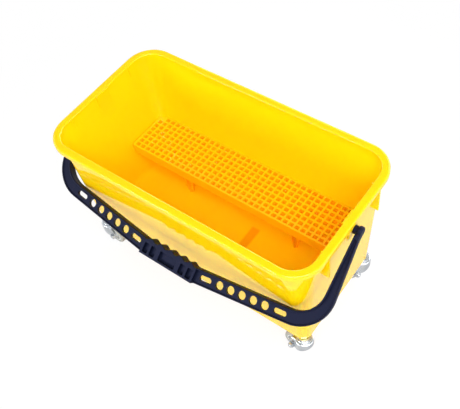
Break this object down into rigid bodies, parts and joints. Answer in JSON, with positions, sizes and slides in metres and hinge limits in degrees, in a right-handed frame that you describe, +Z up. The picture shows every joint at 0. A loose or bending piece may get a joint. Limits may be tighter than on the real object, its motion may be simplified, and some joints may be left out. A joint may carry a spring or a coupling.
{
  "type": "window cleaning bucket",
  "caption": "Long rectangular tub on swivel castors with a swinging carry handle and a lift-out perforated sieve shelf, for washing window cleaning tools.",
  "frame": {"origin": "on the floor, under the middle of the tub's rim", "axes": "+X along the tub's long side, +Y towards the long wall beside the sieve, +Z up"},
  "size_m": [0.5546, 0.299, 0.305],
  "materials": {
    "tub_plastic": "glossy moulded polypropylene, warm yellow",
    "sieve_plastic": "glossy moulded polypropylene, warm yellow",
    "handle_plastic": "satin moulded plastic, navy black",
    "zinc": "bright zinc plating on pressed steel",
    "washer_plastic": "plain nylon",
    "hub_plastic": "light grey moulded plastic",
    "tyre_rubber": "grey non-marking rubber"
  },
  "bodies": {
    "tub": {"tub": "tub_plastic", "front_right_stem": "zinc", "front_right_cup": "zinc", "front_left_stem": "zinc", "front_left_cup": "zinc", "back_right_stem": "zinc", "back_right_cup": "zinc", "back_left_stem": "zinc", "back_left_cup": "zinc"},
    "handle": {"handle": "handle_plastic"},
    "sieve": {"sieve": "sieve_plastic"},
    "front_right_swivel": {"front_right_fork": "zinc", "front_right_washer": "washer_plastic", "front_right_axle_bolt": "zinc", "front_right_axle_nut": "zinc"},
    "front_right_wheel": {"front_right_wheel_hub": "hub_plastic", "front_right_tyre": "tyre_rubber"},
    "front_left_swivel": {"front_left_fork": "zinc", "front_left_washer": "washer_plastic", "front_left_axle_bolt": "zinc", "front_left_axle_nut": "zinc"},
    "front_left_wheel": {"front_left_wheel_hub": "hub_plastic", "front_left_tyre": "tyre_rubber"},
    "back_right_swivel": {"back_right_fork": "zinc", "back_right_washer": "washer_plastic", "back_right_axle_bolt": "zinc", "back_right_axle_nut": "zinc"},
    "back_right_wheel": {"back_right_wheel_hub": "hub_plastic", "back_right_tyre": "tyre_rubber"},
    "back_left_swivel": {"back_left_fork": "zinc", "back_left_washer": "washer_plastic", "back_left_axle_bolt": "zinc", "back_left_axle_nut": "zinc"},
    "back_left_wheel": {"back_left_wheel_hub": "hub_plastic", "back_left_tyre": "tyre_rubber"}
  },
  "joints": [
    {"name": "handle_swing", "type": "hinge", "parent": "tub", "child": "handle", "pos_m": [0, 0, 0.28], "axis": [-1, 0, 0], "range_deg": [0, 253.8]},
    {"name": "sieve_lift", "type": "slide", "parent": "tub", "child": "sieve", "axis": [0, 0, 1], "range_m": [0, 0.2]},
    {"name": "front_right_turn", "type": "hinge", "parent": "tub", "child": "front_right_swivel", "pos_m": [0.224, -0.094, 0.045], "axis": [0, 0, 1], "continuous": true},
    {"name": "front_right_roll", "type": "hinge", "parent": "front_right_swivel", "child": "front_right_wheel", "pos_m": [0.20762, -0.09199, 0.021], "axis": [0.1219, 0.9925, 0], "continuous": true},
    {"name": "front_left_turn", "type": "hinge", "parent": "tub", "child": "front_left_swivel", "pos_m": [-0.224, -0.094, 0.045], "axis": [0, 0, 1], "continuous": true},
    {"name": "front_left_roll", "type": "hinge", "parent": "front_left_swivel", "child": "front_left_wheel", "pos_m": [-0.20756, -0.09544, 0.021], "axis": [-0.0872, -0.9962, 0], "continuous": true},
    {"name": "back_right_turn", "type": "hinge", "parent": "tub", "child": "back_right_swivel", "pos_m": [0.224, 0.094, 0.045], "axis": [0, 0, 1], "continuous": true},
    {"name": "back_right_roll", "type": "hinge", "parent": "back_right_swivel", "child": "back_right_wheel", "pos_m": [0.21625, 0.07943, 0.021], "axis": [-0.8829, 0.4695, 0], "continuous": true},
    {"name": "back_left_turn", "type": "hinge", "parent": "tub", "child": "back_left_swivel", "pos_m": [-0.224, 0.094, 0.045], "axis": [0, 0, 1], "continuous": true},
    {"name": "back_left_roll", "type": "hinge", "parent": "back_left_swivel", "child": "back_left_wheel", "pos_m": [-0.20905, 0.10097, 0.021], "axis": [0.4226, -0.9063, 0], "continuous": true}
  ]
}
